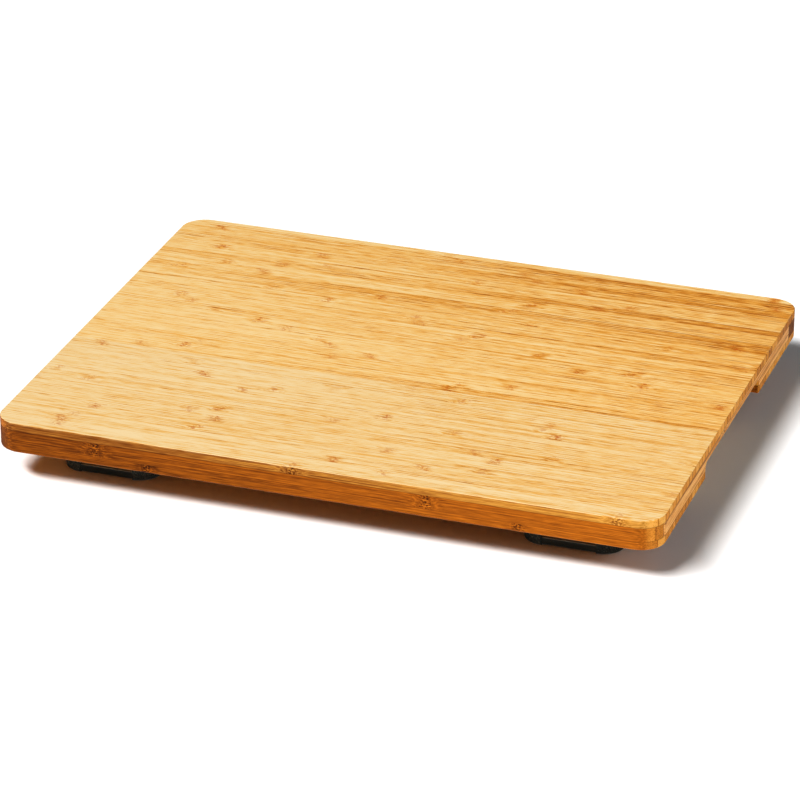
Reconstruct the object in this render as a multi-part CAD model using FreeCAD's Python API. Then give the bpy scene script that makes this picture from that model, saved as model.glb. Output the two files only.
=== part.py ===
import FreeCAD, Part
import os

# Three-ply bamboo cutting board on four screwed-on feet.
#
# Frame, in millimetres: +X to the right along the long side, +Y away from the
# front edge, +Z up. The origin is on the table, under the middle of the board,
# so the soles stand on Z = 0 and the work surface looks up.

os.makedirs("parts", exist_ok=True)

# ---------------------------------------------------------------- board
board_length = 450.0
board_depth = 352.0
corner_radius = 17.0
top_ply_thickness = 5.2
core_thickness = 9.6
bottom_ply_thickness = 6.0
top_edge_round = 0.6
lower_edge_round = 1.5

# Top and bottom ply: narrow staves along X. Core: wide staves along Y, closed
# at the front and the rear by sticks along X.
face_stave_count = 46
core_stave_count = 28
front_stick_count = 2
front_stick_width = 6.2
rear_stick_width = 30.8

# Hand grip: a pocket in the underside of each short side.
grip_length = 133.0
grip_depth = 25.0
grip_slab_thickness = 10.1
grip_inner_corner_radius = 12.0
grip_ceiling_radius = 4.0

# ---------------------------------------------------------------- feet
foot_height = 22.5
foot_length = 66.0
foot_width = 28.0
foot_centre_x = 158.0
foot_front_setback = 29.0
flange_thickness = 3.0
flange_round = 0.8

# Each end of a foot wears a rubber pad shaped as a cup around a boss.
pad_gap = 36.4
pad_wall = 3.5
pad_floor = 3.5
pad_height = 12.0
pad_sole_round = 1.0
pad_rim_round = 1.2

# The rail between the two pads stands slightly back from them.
rail_recess = 1.0
rail_floor_clearance = 0.4
rail_top = 5.4
rail_round = 0.7

# ---------------------------------------------------------------- screws
screw_offset = 23.5
screw_radius = 2.0
screw_clearance_radius = 2.25
screw_tip_length = 3.0
screw_reach = 13.5
head_radius = 3.8
head_height = 2.4
head_round = 1.0
head_seat = 12.0
head_pocket_radius = 4.2
drive_slot_length = 4.4
drive_slot_width = 1.0
drive_slot_depth = 1.2

# ---------------------------------------------------------------- derived places
half_length = board_length / 2.0
half_depth = board_depth / 2.0
underside = foot_height
core_bottom = underside + bottom_ply_thickness
core_top = core_bottom + core_thickness
work_surface = core_top + top_ply_thickness
grip_ceiling = work_surface - grip_slab_thickness
face_stave_width = board_depth / face_stave_count
core_stave_width = board_length / core_stave_count
core_stave_front = -half_depth + front_stick_count * front_stick_width
core_stave_rear = half_depth - rear_stick_width
foot_centre_y = half_depth - foot_front_setback - foot_width / 2.0
boss_length = foot_length - 2.0 * pad_wall
boss_width = foot_width - 2.0 * pad_wall
flange_bottom = foot_height - flange_thickness
screw_tip = underside + screw_reach
overcut = 5.0
level_tolerance = 1e-4


def export(name, shape):
    shape.exportStep("parts/" + name + ".step")


def vector(x, y, z):
    return FreeCAD.Vector(x, y, z)


def block(x0, x1, y0, y1, z0, z1):
    return Part.makeBox(x1 - x0, y1 - y0, z1 - z0, vector(x0, y0, z0))


def cylinder(radius, z0, z1, x, y):
    return Part.makeCylinder(radius, z1 - z0, vector(x, y, z0))


def edges_at_level(shape, z):
    """Edges that lie wholly in the horizontal plane at height z."""
    found = []
    for edge in shape.Edges:
        box = edge.BoundBox
        if abs(box.ZMin - z) < level_tolerance and abs(box.ZMax - z) < level_tolerance:
            found.append(edge)
    return found


def upright_edges(shape):
    found = []
    for edge in shape.Edges:
        box = edge.BoundBox
        if box.XLength < level_tolerance and box.YLength < level_tolerance:
            found.append(edge)
    return found


def stadium(length, width, z0, z1):
    """Upright solid with two straight sides along X and half-round ends."""
    radius = width / 2.0
    arm = length / 2.0 - radius
    right_end = Part.Arc(vector(arm, -radius, z0), vector(arm + radius, 0, z0), vector(arm, radius, z0))
    left_end = Part.Arc(vector(-arm, radius, z0), vector(-arm - radius, 0, z0), vector(-arm, -radius, z0))
    front = Part.makeLine(vector(-arm, -radius, z0), vector(arm, -radius, z0))
    rear = Part.makeLine(vector(arm, radius, z0), vector(-arm, radius, z0))
    outline = Part.Wire([front, right_end.toShape(), rear, left_end.toShape()])
    return Part.Face(outline).extrude(vector(0, 0, z1 - z0))


# ---------------------------------------------------------------- board envelope
def grip_pocket(side):
    """Space for the fingers under one short side; side is -1 (left) or +1 (right)."""
    inner = side * (half_length - grip_depth)
    outer = side * (half_length + overcut)
    pocket = block(min(inner, outer), max(inner, outer), -grip_length / 2.0, grip_length / 2.0,
                   underside - overcut, grip_ceiling)
    inner_corners = [e for e in upright_edges(pocket) if abs(e.BoundBox.XMin - inner) < level_tolerance]
    pocket = pocket.makeFillet(grip_inner_corner_radius, inner_corners)
    ceiling_edges = []
    for edge in edges_at_level(pocket, grip_ceiling):
        box = edge.BoundBox
        on_open_side = abs(box.XMin - outer) < level_tolerance and abs(box.XMax - outer) < level_tolerance
        if not on_open_side:
            ceiling_edges.append(edge)
    return pocket.makeFillet(grip_ceiling_radius, ceiling_edges)


def grip_mouth_edges(shape):
    """Edges of the grips' openings in the two short sides, above the underside."""
    found = []
    for edge in shape.Edges:
        box = edge.BoundBox
        on_short_side = abs(abs(box.Center.x) - half_length) < level_tolerance and box.XLength < level_tolerance
        inside_grip = abs(box.Center.y) <= grip_length / 2.0 + level_tolerance
        if on_short_side and inside_grip and box.ZMax <= grip_ceiling + level_tolerance:
            found.append(edge)
    return found


def board_envelope():
    """The finished board as one volume, which the staves and sticks are cut from."""
    body = block(-half_length, half_length, -half_depth, half_depth, underside, work_surface)
    body = body.makeFillet(corner_radius, upright_edges(body))
    for side in (-1, 1):
        body = body.cut(grip_pocket(side))
    lower_edges = edges_at_level(body, underside) + grip_mouth_edges(body)
    body = body.makeFillet(lower_edge_round, lower_edges)
    return body.makeFillet(top_edge_round, edges_at_level(body, work_surface))


# ---------------------------------------------------------------- screws
def screw_places():
    """Centre of every screw: two in each foot."""
    places = []
    for foot_x in (-foot_centre_x, foot_centre_x):
        for foot_y in (-foot_centre_y, foot_centre_y):
            for offset in (-screw_offset, screw_offset):
                places.append((foot_x + offset, foot_y))
    return places


def screw_shank(x, y):
    straight = cylinder(screw_radius, head_seat, screw_tip - screw_tip_length, x, y)
    tip = Part.makeCone(screw_radius, 0.0, screw_tip_length, vector(x, y, screw_tip - screw_tip_length))
    return straight.fuse(tip).removeSplitter()


def screw_head(x, y):
    underneath = head_seat - head_height
    head = cylinder(head_radius, underneath, head_seat, x, y)
    head = head.makeFillet(head_round, edges_at_level(head, underneath))
    half_slot = drive_slot_length / 2.0
    half_width = drive_slot_width / 2.0
    slot_top = underneath + drive_slot_depth
    along = block(x - half_slot, x + half_slot, y - half_width, y + half_width, underneath - overcut, slot_top)
    across = block(x - half_width, x + half_width, y - half_slot, y + half_slot, underneath - overcut, slot_top)
    return head.cut(along.fuse(across))


def screw(x, y):
    """Pan-head wood screw, driven upwards through the foot into the board."""
    return screw_head(x, y).fuse(screw_shank(x, y)).removeSplitter()


def export_screws():
    screws = [screw(x, y) for x, y in screw_places()]
    export("foot_screws", Part.Compound(screws))


# ---------------------------------------------------------------- board pieces
def face_stave(envelope, index, z0, z1):
    """One stave of the top or bottom ply, counted from the front edge."""
    front = -half_depth + index * face_stave_width
    space = block(-half_length - overcut, half_length + overcut, front, front + face_stave_width, z0, z1)
    return envelope.common(space)


def core_stave(envelope, index):
    """One cross-grain stave of the core, counted from the left side."""
    left = -half_length + index * core_stave_width
    space = block(left, left + core_stave_width, core_stave_front, core_stave_rear, core_bottom, core_top)
    return envelope.common(space)


def core_stick(envelope, y0, y1):
    """One stick along X that closes the core at the front or the rear."""
    space = block(-half_length - overcut, half_length + overcut, y0, y1, core_bottom, core_top)
    return envelope.common(space)


def reaches_a_grip(index):
    """True for the core staves at either end that the grip pockets cut into."""
    from_nearer_end = min(index, core_stave_count - 1 - index) * core_stave_width
    return from_nearer_end < grip_depth


def export_board(envelope):
    for index in range(face_stave_count):
        export("top_stave_%02d" % (index + 1), face_stave(envelope, index, core_top, work_surface))
    bottom = [face_stave(envelope, index, underside, core_bottom) for index in range(face_stave_count)]
    export("bottom_staves", Part.Compound(bottom))

    end_staves = []
    inner_staves = []
    for index in range(core_stave_count):
        group = end_staves if reaches_a_grip(index) else inner_staves
        group.append(core_stave(envelope, index))
    export("core_end_staves", Part.Compound(end_staves))
    export("core_cross_staves", Part.Compound(inner_staves))

    front_sticks = []
    for index in range(front_stick_count):
        front = -half_depth + index * front_stick_width
        front_sticks.append(core_stick(envelope, front, front + front_stick_width))
    export("core_front_sticks", Part.Compound(front_sticks))
    export("core_rear_stick", core_stick(envelope, core_stave_rear, half_depth))


# ---------------------------------------------------------------- feet
def foot_body():
    """Rigid foot about its own centre: flange, boss with two screw pockets, and rail."""
    flange = stadium(foot_length, foot_width, flange_bottom, foot_height)
    flange = flange.makeFillet(flange_round, edges_at_level(flange, flange_bottom))
    boss = stadium(boss_length, boss_width, pad_floor, flange_bottom)
    rail_half_length = pad_gap / 2.0
    rail_half_width = foot_width / 2.0 - rail_recess
    rail = block(-rail_half_length, rail_half_length, -rail_half_width, rail_half_width,
                 rail_floor_clearance, rail_top)
    long_edges = [e for e in rail.Edges if e.BoundBox.XLength > rail_half_length]
    rail = rail.makeFillet(rail_round, long_edges)
    body = flange.fuse([boss, rail]).removeSplitter()
    for x in (-screw_offset, screw_offset):
        pocket = cylinder(head_pocket_radius, pad_floor - overcut, head_seat, x, 0.0)
        hole = cylinder(screw_clearance_radius, head_seat - overcut, foot_height + overcut, x, 0.0)
        body = body.cut(pocket.fuse(hole))
    return body


def foot_pad(side):
    """Rubber pad about the foot's centre; side is -1 (left end) or +1 (right end)."""
    outside = stadium(foot_length, foot_width, 0.0, pad_height)
    outside = outside.makeFillet(pad_sole_round, edges_at_level(outside, 0.0))
    outside = outside.makeFillet(pad_rim_round, edges_at_level(outside, pad_height))
    near = side * pad_gap / 2.0
    far = side * (foot_length / 2.0 + overcut)
    end_space = block(min(near, far), max(near, far), -foot_width, foot_width, -overcut, pad_height + overcut)
    boss = stadium(boss_length, boss_width, pad_floor, pad_height + overcut)
    return outside.common(end_space).cut(boss)


def moved(shape, x, y):
    copy = shape.copy()
    copy.translate(vector(x, y, 0.0))
    return copy


def export_feet():
    body = foot_body()
    pads = [foot_pad(-1), foot_pad(1)]
    for row, y in (("front", -foot_centre_y), ("rear", foot_centre_y)):
        for side, x in (("left", -foot_centre_x), ("right", foot_centre_x)):
            name = row + "_" + side + "_foot"
            export(name, moved(body, x, y))
            export(name + "_pads", Part.Compound([moved(pad, x, y) for pad in pads]))


# ---------------------------------------------------------------- build
finished_board = board_envelope()
for screw_x, screw_y in screw_places():
    finished_board = finished_board.cut(screw_shank(screw_x, screw_y))
export_board(finished_board)
export_feet()
export_screws()
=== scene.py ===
import math

import bpy
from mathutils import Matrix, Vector


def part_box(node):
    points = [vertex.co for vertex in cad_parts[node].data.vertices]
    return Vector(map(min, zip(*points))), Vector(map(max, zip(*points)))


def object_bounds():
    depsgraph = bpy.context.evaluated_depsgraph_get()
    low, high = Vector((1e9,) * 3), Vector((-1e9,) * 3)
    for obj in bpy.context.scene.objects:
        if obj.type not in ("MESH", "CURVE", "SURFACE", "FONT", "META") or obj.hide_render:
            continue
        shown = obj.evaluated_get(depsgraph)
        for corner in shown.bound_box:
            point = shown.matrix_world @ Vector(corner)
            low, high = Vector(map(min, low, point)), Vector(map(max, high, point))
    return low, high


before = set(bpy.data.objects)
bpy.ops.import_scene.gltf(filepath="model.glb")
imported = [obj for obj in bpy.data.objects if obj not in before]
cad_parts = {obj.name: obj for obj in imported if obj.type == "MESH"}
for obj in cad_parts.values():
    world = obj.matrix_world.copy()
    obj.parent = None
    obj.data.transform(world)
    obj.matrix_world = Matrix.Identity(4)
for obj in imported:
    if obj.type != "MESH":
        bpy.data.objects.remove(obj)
cad_low, cad_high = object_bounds()

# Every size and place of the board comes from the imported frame, in metres.
MM = 0.001
board_length = cad_high.x - cad_low.x
board_depth = cad_high.y - cad_low.y
work_height = cad_high.z
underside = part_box("bottom_staves")[0].z
core_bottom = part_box("core_end_staves")[0].z
core_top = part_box("core_end_staves")[1].z

# How far apart the strips lie. The core has two end staves at each end, and two sticks in front.
CORE_END_STAVES = 4
FRONT_STICKS = 2
face_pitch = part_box("top_stave_02")[0].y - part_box("top_stave_01")[0].y
face_stave_count = round(board_depth / face_pitch)
cross_low, cross_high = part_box("core_cross_staves")
core_pitch = (board_length - (cross_high.x - cross_low.x)) / CORE_END_STAVES
front_sticks_low, front_sticks_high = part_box("core_front_sticks")
front_stick_pitch = (front_sticks_high.y - front_sticks_low.y) / FRONT_STICKS
rear_stick_low, rear_stick_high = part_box("core_rear_stick")
rear_stick_width = rear_stick_high.y - rear_stick_low.y
foot_names = [f"{end}_{side}_foot" for end in ("front", "rear") for side in ("left", "right")]


def linear(channel):
    """One 0-255 display channel as the linear light it stands for."""
    share = channel / 255
    if share <= 0.04045:
        return share / 12.92
    return ((share + 0.055) / 1.055) ** 2.4


def shade(red, green, blue):
    """A display colour as the linear RGBA that shader nodes take."""
    return (linear(red), linear(green), linear(blue), 1.0)


# Bamboo tones from the palest, at 0, to the darkest. The faces are sanded, the long sides show the
# culm's skin side, and the ends are sawn across.
DARKEST = 1.4
FACE_TONES = (
    (0.0, shade(232, 209, 166)),
    (0.35, shade(228, 195, 136)),
    (0.7, shade(224, 173, 90)),
    (1.0, shade(202, 137, 43)),
    (DARKEST, shade(154, 90, 22)),
)
HONEY_SKIN = (
    (0.0, shade(222, 172, 90)),
    (0.4, shade(196, 142, 62)),
    (0.7, shade(158, 102, 40)),
    (1.0, shade(118, 66, 18)),
    (DARKEST, shade(76, 38, 8)),
)
CORE_SKIN = (
    (0.0, shade(250, 204, 132)),
    (0.3, shade(234, 168, 84)),
    (0.6, shade(200, 130, 54)),
    (1.0, shade(140, 82, 28)),
    (DARKEST, shade(90, 46, 12)),
)
CARAMEL_SKIN = (
    (0.0, shade(222, 152, 52)),
    (0.4, shade(190, 116, 29)),
    (0.7, shade(158, 92, 19)),
    (1.0, shade(116, 62, 9)),
    (DARKEST, shade(72, 35, 4)),
)
END_TONES = (
    (0.0, shade(246, 192, 104)),
    (0.5, shade(224, 154, 62)),
    (1.0, shade(172, 104, 38)),
    (DARKEST, shade(112, 62, 20)),
)
NODE_TONE = shade(190, 104, 24)
PLY_GLUE = shade(104, 56, 16)
RUBBED_WOOD = shade(236, 206, 150)
# The tint of strips that come from riper, more golden culms.
GOLDEN = (1.03, 1.0, 0.91, 1.0)
# Painted shade on the left end of the board: added tone for each metre left of the middle.
LEFT_PAINTED_SHADE = 3.8

# Bamboo's nodes (the culm's joints), its fibres and the glue between strips, in metres.
NODE_SPACING = 216 * MM
NODE_LENGTH = 6 * MM
NODE_SLANT = 9 * MM
FIBRE_WANDER = 1.6 * MM
FIBRE_BEND = 3.2 * MM
BUNDLE_WIDTH = 0.95 * MM
GLUE_WIDTH = 0.24 * MM
WOOD_RELIEF = 0.14 * MM

# Strips from one culm lie together. The place of a node varies over these shares of the spacing: once
# for the whole strip and once for the single node.
CULM_STRIPS = 3
STRIP_STRAY = 0.42
NODE_STRAY = 0.3

# How the fibres wander, in cycles per metre of length, per strip and per metre of height.
DRIFT = (5.0, 3.7, 40.0)

# Bamboo's textures, in cycles per metre along the grain and across it. The last is the same each way.
BUNDLES = (11.0, 1 / BUNDLE_WIDTH)
HAIRS = (24.0, 2700.0)
STREAKS = (4.5, 260.0)
THREADS = (5.0, 1250.0)
STUBS = (90.0, 1300.0)
DASHES = (42.0, 1000.0)
CURLS = (420.0, 700.0)
KNOTS = (760.0, 900.0)
WORN_PATCHES = 90.0


class Signal:
    """A value that varies over a surface: one output of one shader node."""

    def __init__(self, graph, socket):
        self.graph = graph
        self.socket = socket

    def __add__(self, other):
        return self.graph.math("ADD", self, other)

    def __radd__(self, other):
        return self.graph.math("ADD", other, self)

    def __sub__(self, other):
        return self.graph.math("SUBTRACT", self, other)

    def __rsub__(self, other):
        return self.graph.math("SUBTRACT", other, self)

    def __mul__(self, other):
        return self.graph.math("MULTIPLY", self, other)

    def __truediv__(self, other):
        return self.graph.math("DIVIDE", self, other)


class Graph:
    """The shader nodes of a material or a world, added and linked through short calls."""

    def __init__(self, owner):
        self.owner = owner
        owner.use_nodes = True
        self.nodes = owner.node_tree.nodes
        self.links = owner.node_tree.links
        self.nodes.clear()

    def add(self, kind, **settings):
        node = self.nodes.new(kind)
        for key, value in settings.items():
            setattr(node, key, value)
        return node

    def feed(self, socket, value):
        """Gives an input a signal or a plain value."""
        if isinstance(value, Signal):
            self.links.new(value.socket, socket)
        else:
            socket.default_value = value

    def math(self, operation, *values):
        node = self.add("ShaderNodeMath", operation=operation)
        for socket, value in zip(node.inputs, values):
            self.feed(socket, value)
        return Signal(self, node.outputs[0])

    def split(self, socket):
        """The three components of a vector output."""
        parts = self.add("ShaderNodeSeparateXYZ")
        self.links.new(socket, parts.inputs[0])
        return [Signal(self, output) for output in parts.outputs]

    def position(self):
        """The point's place in metres, in the part's own frame."""
        return self.split(self.add("ShaderNodeTexCoord").outputs["Object"])

    def normal(self):
        """The three components of the surface normal."""
        return self.split(self.add("ShaderNodeNewGeometry").outputs["Normal"])

    def facing(self):
        """The size of the surface normal along each axis: 1 where the surface faces that way."""
        return [self.math("ABSOLUTE", part) for part in self.normal()]

    def rising(self):
        """1 where the surface faces straight up, 0 where it is upright or faces down."""
        return self.step(0.1, 0.8, self.normal()[2])

    def rounding(self, radius):
        """0 on a flat face, rising where the surface turns a corner within the radius."""
        source = self.add("ShaderNodeNewGeometry")
        rounded = self.add("ShaderNodeBevel", samples=4)
        rounded.inputs["Radius"].default_value = radius
        turn = self.add("ShaderNodeVectorMath", operation="DOT_PRODUCT")
        self.links.new(rounded.outputs[0], turn.inputs[0])
        self.links.new(source.outputs["Normal"], turn.inputs[1])
        return 1.0 - Signal(self, turn.outputs["Value"])

    def property(self, name):
        """A custom property of the object, or 0 where the object has none of that name."""
        node = self.add("ShaderNodeAttribute", attribute_type="OBJECT", attribute_name=name)
        return Signal(self, node.outputs["Fac"])

    def floor(self, value):
        return self.math("FLOOR", value)

    def step(self, low, high, value, shape="SMOOTHSTEP"):
        """0 below low, 1 above high and a rise between them, which is smooth or linear."""
        node = self.add("ShaderNodeMapRange", interpolation_type=shape)
        self.feed(node.inputs["Value"], value)
        self.feed(node.inputs["From Min"], low)
        self.feed(node.inputs["From Max"], high)
        return Signal(self, node.outputs["Result"])

    def bell(self, value, width):
        """1 where value is 0, falling smoothly to nothing about two widths away."""
        scaled = value / width
        return self.math("EXPONENT", scaled * scaled * -1.0)

    def vector(self, x, y, z):
        node = self.add("ShaderNodeCombineXYZ")
        for socket, value in zip(node.inputs, (x, y, z)):
            self.feed(socket, value)
        return Signal(self, node.outputs[0])

    def spot(self, *frequencies):
        """The point's place in a texture's cycles, from the cycles per metre: one number or one per axis."""
        if len(frequencies) == 1:
            frequencies = frequencies * 3
        return self.vector(*[part * frequency for part, frequency in zip(self.position(), frequencies)])

    def noise(self, vector, detail=2.0, roughness=0.5):
        """Smooth noise from 0 to 1, one cycle for each unit of the vector."""
        node = self.add("ShaderNodeTexNoise", noise_dimensions="3D")
        self.feed(node.inputs["Vector"], vector)
        node.inputs["Scale"].default_value = 1.0
        node.inputs["Detail"].default_value = detail
        node.inputs["Roughness"].default_value = roughness
        return Signal(self, node.outputs[0])

    def cells(self, vector):
        """Distance to the nearest of a set of scattered points, one for each unit of the vector."""
        node = self.add("ShaderNodeTexVoronoi", voronoi_dimensions="3D", feature="F1")
        self.feed(node.inputs["Vector"], vector)
        node.inputs["Scale"].default_value = 1.0
        return Signal(self, node.outputs["Distance"])

    def chances(self, *values):
        """Three steady random numbers from 0 to 1 for each set of up to three numbers."""
        padded = list(values) + [0.0] * (3 - len(values))
        node = self.add("ShaderNodeTexWhiteNoise", noise_dimensions="3D")
        self.feed(node.inputs["Vector"], self.vector(*padded))
        parts = self.add("ShaderNodeSeparateColor")
        self.links.new(node.outputs["Color"], parts.inputs[0])
        return [Signal(self, output) for output in parts.outputs]

    def ramp(self, value, stops):
        """A colour that runs through the stops, each a place from 0 to 1 and its colour."""
        node = self.add("ShaderNodeValToRGB")
        self.feed(node.inputs[0], value)
        elements = node.color_ramp.elements
        while len(elements) < len(stops):
            elements.new(0.5)
        for element, (place, colour) in zip(elements, stops):
            element.position = place
            element.color = colour
        return Signal(self, node.outputs["Color"])

    def tone(self, value, tones):
        """The colour at a tone, from a table whose places run from 0 to DARKEST."""
        stops = [(place / DARKEST, colour) for place, colour in tones]
        return self.ramp(value / DARKEST, stops)

    def mix(self, share, first, second, blend="MIX"):
        """The first colour where share is 0, turning into the second, or blended with it, where it is 1."""
        node = self.add("ShaderNodeMix", data_type="RGBA", blend_type=blend, clamp_factor=True)
        self.feed(node.inputs[0], share)
        self.feed(node.inputs[6], first)
        self.feed(node.inputs[7], second)
        return Signal(self, node.outputs[2])

    def surface(self, colour, roughness, height, depth, strength=1.0, metal=0.0, gloss=0.5):
        """The material, as one Principled surface. A height of 1 stands for depth metres of relief."""
        bump = self.add("ShaderNodeBump")
        bump.inputs["Strength"].default_value = strength
        bump.inputs["Distance"].default_value = depth
        self.feed(bump.inputs["Height"], height)
        shader = self.add("ShaderNodeBsdfPrincipled")
        self.feed(shader.inputs["Base Color"], colour)
        self.feed(shader.inputs["Roughness"], roughness)
        self.feed(shader.inputs["Metallic"], metal)
        self.feed(shader.inputs["Specular IOR Level"], gloss)
        self.links.new(bump.outputs[0], shader.inputs["Normal"])
        output = self.add("ShaderNodeOutputMaterial")
        self.links.new(shader.outputs[0], output.inputs["Surface"])
        return self.owner


class Bamboo(Graph):
    """Pressed bamboo strips with their grain along the axis "x" or "y", side by side from start at a pitch.

    Spacing is the way from node to node. Front_node is where the first strip has a node, as a share of the
    board's length from the left. Its attributes are textures, which weigh() adds up by name.
    """

    def __init__(self, name, grain, start, pitch, seed, spacing=NODE_SPACING, front_node=None):
        super().__init__(bpy.data.materials.new(name))
        self.grain = grain
        self.pitch = pitch
        self.seed = seed
        self.x, self.y, self.z = self.position()
        self.along, self.across = (self.x, self.y) if grain == "x" else (self.y, self.x)
        self.slope = self.along / board_length
        # Painted shade that darkens the left end of the board.
        self.left_shade = self.math("MAXIMUM", self.x * -1.0, 0.0) * LEFT_PAINTED_SHADE
        self.find_sides()
        self.lay_strips(start)
        self.place_nodes(spacing, front_node)
        self.bend_fibres()
        self.draw_fibres()
        self.draw_node_marks()

    def find_sides(self):
        """Tells flat faces, upright sides and sawn ends apart: each is 1 there and 0 elsewhere."""
        facing_x, facing_y, facing_z = self.facing()
        self.flat = self.step(0.93, 0.999, facing_z)
        self.upright = 1.0 - self.step(0.6, 0.85, facing_z)
        self.ends = self.step(0.35, 0.7, facing_x if self.grain == "x" else facing_y)

    def lay_strips(self, start):
        """Numbers the strips, gives each its own chances and finds the joints between them."""
        place = (self.across - start) / self.pitch
        self.strip = self.floor(place)
        share = place - self.strip
        first, second, self.third = self.chances(self.strip, self.seed)
        self.own = first - 0.5
        flip = self.step(0.49, 0.51, second)
        self.outward = share * (1.0 - flip) + (1.0 - share) * flip
        self.from_joint = 0.5 - self.math("ABSOLUTE", share - 0.5)
        joint = 1.0 - self.step(0.0, GLUE_WIDTH / self.pitch * 2, self.from_joint)
        self.glue = joint * (0.12 + second * 0.4)

    def place_nodes(self, spacing, front_node):
        """Puts the nodes near the same place in strips of one culm."""
        culm = self.floor(self.strip / CULM_STRIPS)
        # Half a seed more keeps the culms' chances apart from the strips'.
        phase = self.chances(culm, self.seed + 0.5)[0] + self.third * STRIP_STRAY
        stray = NODE_STRAY
        if front_node is not None:
            others = self.step(0.4, 0.6, self.strip)
            wanted = 0.5 - (front_node - 0.5) * board_length / spacing
            phase = phase * others + (1.0 - others) * wanted
            stray = others * stray
        beat = self.along / spacing + phase
        cell = self.floor(beat)
        jitter, vigour, lean = self.chances(self.strip, cell, self.seed)
        self.from_node = (beat - cell - 0.5 + (jitter - 0.5) * stray) * spacing
        slanted = self.from_node + (self.outward - 0.5) * (lean - 0.3) * NODE_SLANT
        vigour = vigour * 0.8 + 0.2
        self.halo = self.bell(slanted, NODE_LENGTH) * vigour
        self.heart = self.bell(slanted, NODE_LENGTH * 0.65) * vigour
        self.beside = self.bell(slanted - NODE_LENGTH * 1.3, NODE_LENGTH * 0.7) * vigour

    def bend_fibres(self):
        """Fibres wander slowly and bend round each node."""
        lengthwise, by_strip, by_height = DRIFT
        drift = self.vector(self.along * lengthwise, self.strip * by_strip, self.z * by_height)
        wander = (self.noise(drift) - 0.5) * FIBRE_WANDER
        bend = self.bell(self.from_node, NODE_LENGTH * 1.3) * (self.outward - 0.3) * FIBRE_BEND
        self.fibre = self.across + wander + bend
        self.depth = self.z + wander + bend * 0.6

    def stretched(self, along, frequencies):
        """A place on the bent fibres, in the cycles of a texture that is long along the grain."""
        lengthwise, crosswise = frequencies
        return self.vector(along * lengthwise, self.fibre * crosswise, self.depth * crosswise)

    def drawn_out(self, frequencies, **settings):
        """Noise drawn out along the fibres, from -0.5 to 0.5."""
        return self.noise(self.stretched(self.along, frequencies), **settings) - 0.5

    def draw_fibres(self):
        """The fibre bundles, which show as lines along a strip and as dots on its ends, and finer grain."""
        bundle = self.cells(self.stretched(self.along, BUNDLES))
        self.lines = 1.0 - self.step(0.12, 0.34 + self.outward * 0.2, bundle)
        self.dots = 1.0 - self.step(0.2, 0.5, bundle)
        self.hairs = self.drawn_out(HAIRS)
        self.streaks = self.drawn_out(STREAKS, detail=3.0)
        self.threads = self.drawn_out(THREADS, roughness=0.6)
        self.stubs = self.drawn_out(STUBS)
        self.dashes = self.step(0.07, 0.22, self.drawn_out(DASHES))
        self.rough_grain = self.weigh(threads=2.7, stubs=1.85, dashes=0.35) - 0.07
        self.fine_grain = self.weigh(hairs=0.4, lines=0.13)

    def draw_node_marks(self):
        """Each node leaves curled scars on the face and a knotted ring on the long side."""
        curls = self.noise(self.stretched(self.from_node, CURLS), roughness=0.6)
        self.scars = self.heart * self.step(0.49, 0.56, curls)
        knots = self.noise(self.stretched(self.from_node, KNOTS), roughness=0.6)
        self.rings = self.bell(self.from_node, NODE_LENGTH * 0.6) * (self.step(0.42, 0.58, knots) - 0.26)

    def weigh(self, **weights):
        """The sum of the textures that are named, each times its weight."""
        return sum(getattr(self, name) * weight for name, weight in weights.items())

    def face_colour(self, face, variety, tones):
        """Sanded faces, paler to the left and darker to the right, partly as painted sheen and falloff of
        light. The darker strips darken more to the right.
        """
        tone = face + self.property("stave_tone") * (1.0 + self.slope * 0.9)
        # Partly painted sheen and falloff of light: the faces darken to the right.
        tone = tone + self.weigh(own=variety, slope=0.24, streaks=0.3, halo=0.26, beside=-0.1)
        tone = tone + self.rough_grain + self.fine_grain + self.glue
        colour = self.mix(self.scars * 0.85, self.tone(tone, tones), NODE_TONE)
        return self.mix(self.property("stave_gold"), colour, GOLDEN, blend="MULTIPLY")

    def side_colour(self, side, side_shade, skin):
        """Long sides, with painted shade towards the left. The core's show at the short sides of the board,
        with stronger threads and painted shade at the left end.
        """
        # Painted shade: the long sides darken to the left.
        tone = side - self.slope * side_shade
        tone = tone + self.weigh(own=0.06, streaks=0.25, rough_grain=0.42, halo=0.06, rings=0.75)
        tone = tone + self.fine_grain
        if self.grain == "y":
            # Painted shade at the left end, and stronger threads.
            tone = tone + self.left_shade + self.threads * 1.4
        return self.tone(tone, skin)

    def end_colour(self, end, end_shade):
        """Sawn ends, where each strip takes the oil in its own way, with painted shade towards the rear and
        at the left end.
        """
        # Painted shade: darker towards the rear and at the left end.
        tone = end + self.y / board_depth * end_shade + self.left_shade
        tone = tone + self.weigh(own=0.5, dots=0.25, hairs=0.5, streaks=0.4)
        butt = 1.0 - self.step(0.0, GLUE_WIDTH / self.pitch * 3.5, self.from_joint)
        tone = tone + butt * (0.2 + self.third * 0.9)
        return self.tone(tone, END_TONES)

    def ply_line(self):
        """1 at the glue between the plies, which shows as a dark line round the board."""
        above_core = self.math("ABSOLUTE", self.z - core_top)
        below_core = self.math("ABSOLUTE", self.z - core_bottom)
        to_glue = self.math("MINIMUM", above_core, below_core)
        return self.upright * (1.0 - self.step(GLUE_WIDTH * 0.5, GLUE_WIDTH * 1.5, to_glue))

    def worn_arris(self):
        """1 in patches along the upper arris of the board, where it is rubbed."""
        from_right = board_length / 2 - self.math("ABSOLUTE", self.x)
        from_rear = board_depth / 2 - self.math("ABSOLUTE", self.y)
        rim_distance = self.math("MINIMUM", from_right, from_rear)
        near_rim = 1.0 - self.step(0.4 * MM, 1.8 * MM, rim_distance)
        near_top = self.step(work_height - 1.6 * MM, work_height - 0.3 * MM, self.z)
        patches = self.step(0.35, 0.65, self.noise(self.spot(WORN_PATCHES)))
        return near_rim * near_top * patches

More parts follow.
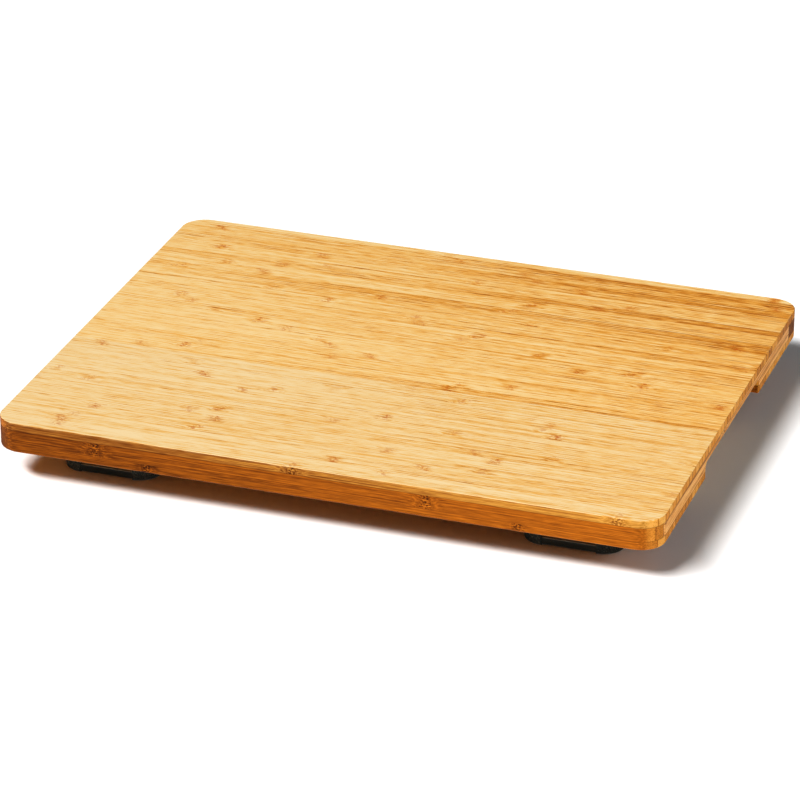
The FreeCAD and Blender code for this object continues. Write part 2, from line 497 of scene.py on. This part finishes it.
    def finished(
        self, face=0.3, variety=0.17, tones=FACE_TONES,
        side=0.5, side_shade=0.0, skin=CARAMEL_SKIN, end=0.4, end_shade=0.0,
    ):
        """The material. Face, side and end are the tones of those surfaces.

        Variety is how far the faces differ from strip to strip. The side and end fades are painted shade:
        they darken the long sides to the left and the ends to the rear.
        """
        self.worn = self.worn_arris()
        colour = self.face_colour(face, variety, tones)
        colour = self.mix(self.upright, colour, self.side_colour(side, side_shade, skin))
        colour = self.mix(self.ends, colour, self.end_colour(end, end_shade))
        colour = self.mix(self.ply_line() * 0.4, colour, PLY_GLUE)
        colour = self.mix(self.worn * 0.15, colour, RUBBED_WOOD)
        roughness = 0.45 + self.weigh(streaks=0.16, dashes=0.08, ends=0.14, halo=0.05, worn=-0.08)
        height = 0.5 + self.weigh(hairs=0.5, lines=-0.22, dashes=-0.18, glue=-0.6, scars=-0.3)
        gloss = 0.1 + self.flat * 0.22
        return self.surface(colour, roughness, height, WOOD_RELIEF, strength=0.6, gloss=gloss)


def moulded_plastic(name):
    """Near-black moulded plastic with a faint green cast and a fine satin grain."""
    graph = Graph(bpy.data.materials.new(name))
    cloud = graph.noise(graph.spot(60.0), detail=3.0)
    grain = graph.noise(graph.spot(1500.0), detail=3.0)
    flow = graph.noise(graph.spot(90.0, 240.0, 700.0), detail=3.0)
    colour = graph.ramp(cloud * 0.35 + grain * 0.35 + flow * 0.3, (
        (0.3, shade(26, 32, 28)),
        (0.52, shade(46, 54, 49)),
        (0.72, shade(84, 93, 84)),
    ))
    # Arrises get a pale grey line, partly rubbed wear and partly painted highlight, and faces that face up
    # get a painted highlight of pale grey.
    edge = graph.rounding(0.6 * MM)
    rubbed = graph.step(0.01, 0.12, edge) * graph.step(0.25, 0.55, flow)
    colour = graph.mix(rubbed * 0.8, colour, shade(150, 156, 146))
    # Painted highlight on every face that faces up.
    colour = graph.mix(graph.rising() * 0.9, colour, shade(186, 188, 176))
    roughness = 0.34 + (cloud - 0.5) * 0.15 + (flow - 0.5) * 0.2
    return graph.surface(colour, roughness, grain * 0.6 + flow * 0.4, 0.08 * MM, strength=0.6)


def pad_rubber(name):
    """Black rubber with a coarse spark-eroded texture and specks of dust."""
    graph = Graph(bpy.data.materials.new(name))
    pits = graph.cells(graph.spot(700.0))
    grain = graph.noise(graph.spot(1100.0), detail=3.0)
    cloud = graph.noise(graph.spot(45.0), detail=3.0)
    colour = graph.ramp(cloud * 0.5 + pits * 0.5, (
        (0.2, shade(22, 27, 24)),
        (0.5, shade(42, 49, 43)),
        (0.85, shade(78, 85, 73)),
    ))
    specks = graph.step(0.56, 0.68, grain)
    colour = graph.mix(specks * 0.6, colour, shade(134, 138, 122))
    roughness = 0.62 + (grain - 0.5) * 0.3
    return graph.surface(colour, roughness, pits * 0.7 + grain * 0.3, 0.3 * MM, strength=0.9)


def plated_steel(name):
    """Zinc-plated steel: fine turning marks, pale blotches and a warm passivated tint."""
    graph = Graph(bpy.data.materials.new(name))
    turning = graph.noise(graph.spot(300.0, 300.0, 5200.0))
    blotch = graph.noise(graph.spot(700.0), detail=3.0)
    colour = graph.ramp(blotch, (
        (0.3, shade(150, 148, 140)),
        (0.55, shade(186, 185, 180)),
        (0.8, shade(206, 200, 184)),
    ))
    roughness = 0.3 + (blotch - 0.5) * 0.25
    return graph.surface(colour, roughness, turning * 0.6 + blotch * 0.4, 0.03 * MM, metal=1.0)


def dress(node_name, material):
    """Gives a CAD node its one material."""
    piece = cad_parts[node_name]
    piece.data.materials.clear()
    piece.data.materials.append(material)
    return piece


# The top ply is two panels: the strips behind the seam are a little darker and more golden.
SEAM_STRIP = 18
REAR_TONE = 0.09

# How much darker (or paler, below 0) single strips of the top ply are than the rest.
PALE_STRIPS = {2: -0.12, 46: -0.05}
AMBER_STRIPS = {19: 0.23, 31: 0.17, 34: 0.13, 35: 0.2, 37: 0.13, 38: 0.13, 42: 0.15}
DARK_STRIPS = {36: 0.25, 39: 0.32, 43: 0.28, 44: 0.13, 45: 0.29}
STRIP_TONES = {**PALE_STRIPS, **AMBER_STRIPS, **DARK_STRIPS}


def dress_top_ply():
    """Pale strips in honey tones, each with a tone of its own."""
    strips = Bamboo("bamboo_top_ply", "x", -board_depth / 2, face_pitch, seed=3.0, front_node=0.46)
    # Painted shade on the ends towards the rear and on the long sides towards the left.
    bamboo = strips.finished(face=0.3, side=0.61, side_shade=0.52, skin=HONEY_SKIN, end=0.4, end_shade=0.4)
    for number in range(1, face_stave_count + 1):
        stave = dress(f"top_stave_{number:02d}", bamboo)
        behind_seam = 1.0 if number > SEAM_STRIP else 0.0
        stave["stave_tone"] = STRIP_TONES.get(number, 0.0) + REAR_TONE * behind_seam
        stave["stave_gold"] = behind_seam


def dress_bottom_ply():
    """Caramel strips of mixed tones."""
    strips = Bamboo(
        "bamboo_bottom_ply", "x", -board_depth / 2, face_pitch,
        seed=11.0, spacing=250 * MM, front_node=0.24,
    )
    bamboo = strips.finished(face=0.48, variety=0.4, tones=CARAMEL_SKIN, side=0.7, side_shade=0.3, end=0.4)
    dress("bottom_staves", bamboo)


def dress_core():
    """Cross-grain staves, which show their long sides at the short sides of the board."""
    strips = Bamboo("bamboo_core", "y", -board_length / 2, core_pitch, seed=5.0)
    bamboo = strips.finished(side=0.35, skin=CORE_SKIN, end=0.1)
    dress("core_cross_staves", bamboo)
    dress("core_end_staves", bamboo)


def dress_sticks():
    """The sticks that close the core in front and at the rear. The rear one's sawn ends are dark."""
    half = board_length / 2
    strips = Bamboo(
        "bamboo_front_sticks", "x", front_sticks_low.y, front_stick_pitch,
        seed=7.0, spacing=half, front_node=0.16,
    )
    dress("core_front_sticks", strips.finished(side=0.7, side_shade=0.4, end=0.35))
    strips = Bamboo(
        "bamboo_rear_stick", "x", rear_stick_low.y, rear_stick_width,
        seed=9.0, spacing=half, front_node=0.3,
    )
    dress("core_rear_stick", strips.finished(side=0.7, side_shade=0.4, end=1.25))


def dress_feet():
    plastic = moulded_plastic("foot_plastic_satin")
    rubber = pad_rubber("pad_rubber_textured")
    for name in foot_names:
        dress(name, plastic)
        dress(f"{name}_pads", rubber)
    dress("foot_screws", plated_steel("screw_steel_plated"))


# ---- Studio: lengths are in metres ----
FLOOR_REACH = 14.0
PAPER_TONES = (0.93, 0.97)
HORIZON_BLUR = 0.02
SKY_LIGHT = 0.06
SHEEN_LIGHT = 0.3
CAMERA_LIGHT = 1.0
KEY_HEIGHT = 12.0
CONTRAST = 0.78
FARTHEST = 100

# The camera that matches the board's straight edges: degrees, board lengths, and millimetres for the lens.
AZIMUTH = 19.06
ELEVATION = 25.81
DISTANCE = 6.2455
AIM_RIGHT = 0.0346
AIM_REAR = -0.1353
LENS = 193.07
SENSOR = 36


def floor_material():
    """Pale matt paper, faintly mottled. Its back is clear, so that the underside can be looked at."""
    graph = Graph(bpy.data.materials.new("studio_floor"))
    mottle = graph.noise(graph.spot(9.0, 9.0, 1.0), detail=3.0)
    darker, paler = [(tone, tone, tone, 1.0) for tone in PAPER_TONES]
    paper = graph.add("ShaderNodeBsdfDiffuse")
    graph.feed(paper.inputs["Color"], graph.mix(mottle, darker, paler))
    clear = graph.add("ShaderNodeBsdfTransparent")
    geometry = graph.add("ShaderNodeNewGeometry")
    either = graph.add("ShaderNodeMixShader")
    graph.links.new(geometry.outputs["Backfacing"], either.inputs[0])
    graph.links.new(paper.outputs[0], either.inputs[1])
    graph.links.new(clear.outputs[0], either.inputs[2])
    output = graph.add("ShaderNodeOutputMaterial")
    graph.links.new(either.outputs[0], output.inputs["Surface"])
    return graph.owner


def build_floor():
    mesh = bpy.data.meshes.new("studio_floor")
    turns = ((-1, -1), (1, -1), (1, 1), (-1, 1))
    corners = [(side * FLOOR_REACH, end * FLOOR_REACH, 0) for side, end in turns]
    mesh.from_pydata(corners, [], [(0, 1, 2, 3)])
    mesh.materials.append(floor_material())
    floor = bpy.data.objects.new("studio_floor", mesh)
    bpy.context.scene.collection.objects.link(floor)
    floor.visible_shadow = False


def build_sky():
    """Even light from above the horizon, and a stronger one for reflections. The camera sees plain white."""
    world = bpy.data.worlds.new("studio_sky")
    bpy.context.scene.world = world
    graph = Graph(world)
    height = graph.split(graph.add("ShaderNodeTexCoord").outputs["Generated"])[2]
    path = graph.add("ShaderNodeLightPath")
    is_glossy = Signal(graph, path.outputs["Is Glossy Ray"])
    is_camera = Signal(graph, path.outputs["Is Camera Ray"])
    level = graph.step(-HORIZON_BLUR, HORIZON_BLUR, height, shape="LINEAR") * SKY_LIGHT
    level = level + (SHEEN_LIGHT - level) * is_glossy
    level = level + (CAMERA_LIGHT - level) * is_camera
    light = graph.add("ShaderNodeBackground")
    graph.feed(light.inputs["Strength"], level)
    output = graph.add("ShaderNodeOutputWorld")
    graph.links.new(light.outputs[0], output.inputs["Surface"])


def lamp(name, place, aim, size, share, facing, colour=(1, 1, 1)):
    """A soft box at place, aimed at a point.

    Share is the brightness that it gives white paper at that point, with the paper facing along facing.
    """
    data = bpy.data.lights.new(name, "AREA")
    data.shape = "RECTANGLE"
    data.size, data.size_y = size
    data.color = colour
    towards = Vector(aim) - Vector(place)
    cosine = -towards.normalized().dot(Vector(facing))
    data.energy = share * math.pi ** 2 * towards.length_squared / cosine
    box = bpy.data.objects.new(name, data)
    box.location = place
    box.rotation_mode = "QUATERNION"
    box.rotation_quaternion = towards.to_track_quat("-Z", "Y")
    box.visible_camera = False
    bpy.context.scene.collection.objects.link(box)
    return box


def build_lamps():
    """A key from the front left, weak fills at the right and rear, and a lamp under the clear floor."""
    middle = (0, 0, work_height)
    lamp(
        "key_light", place=(-0.46 * KEY_HEIGHT, -0.64 * KEY_HEIGHT, KEY_HEIGHT), aim=middle,
        size=(0.66 * KEY_HEIGHT, 0.22 * KEY_HEIGHT), share=1.12, facing=(0, 0, 1),
    )
    right = lamp(
        "right_fill", place=(1.5, -0.55, 0.75), aim=(board_length / 2, 0, underside),
        size=(1.2, 0.3), share=0.25, facing=(1, 0, 0),
    )
    right.visible_glossy = False
    rear = lamp(
        "rear_fill", place=(2.0, 1.6, 2.4), aim=middle,
        size=(1.6, 1.2), share=0.035, facing=(0, 0, 1), colour=(0.7, 0.95, 1.1),
    )
    rear.visible_glossy = False
    under = lamp(
        "under_light", place=(0, 0, -1.3), aim=(0, 0, underside),
        size=(1.4, 1.4), share=0.9, facing=(0, 0, -1),
    )
    under.data.cycles.max_bounces = 0


def build_camera():
    """Long lens, a little right of the middle of the front and about 26 degrees above the table."""
    azimuth = math.radians(AZIMUTH)
    elevation = math.radians(ELEVATION)
    aim = Vector((AIM_RIGHT * board_length, AIM_REAR * board_length, work_height))
    back = Vector((
        math.sin(azimuth) * math.cos(elevation),
        -math.cos(azimuth) * math.cos(elevation),
        math.sin(elevation),
    ))
    data = bpy.data.cameras.new("camera")
    data.lens = LENS
    data.sensor_width = SENSOR
    data.clip_end = FARTHEST
    camera = bpy.data.objects.new("camera", data)
    camera.location = aim + back * (DISTANCE * board_length)
    camera.rotation_mode = "QUATERNION"
    camera.rotation_quaternion = (-back).to_track_quat("-Z", "Y")
    bpy.context.scene.collection.objects.link(camera)
    bpy.context.scene.camera = camera


dress_top_ply()
dress_bottom_ply()
dress_core()
dress_sticks()
dress_feet()
build_floor()
build_sky()
build_lamps()
build_camera()
bpy.context.scene.view_settings.view_transform = "Standard"
bpy.context.scene.view_settings.gamma = CONTRAST
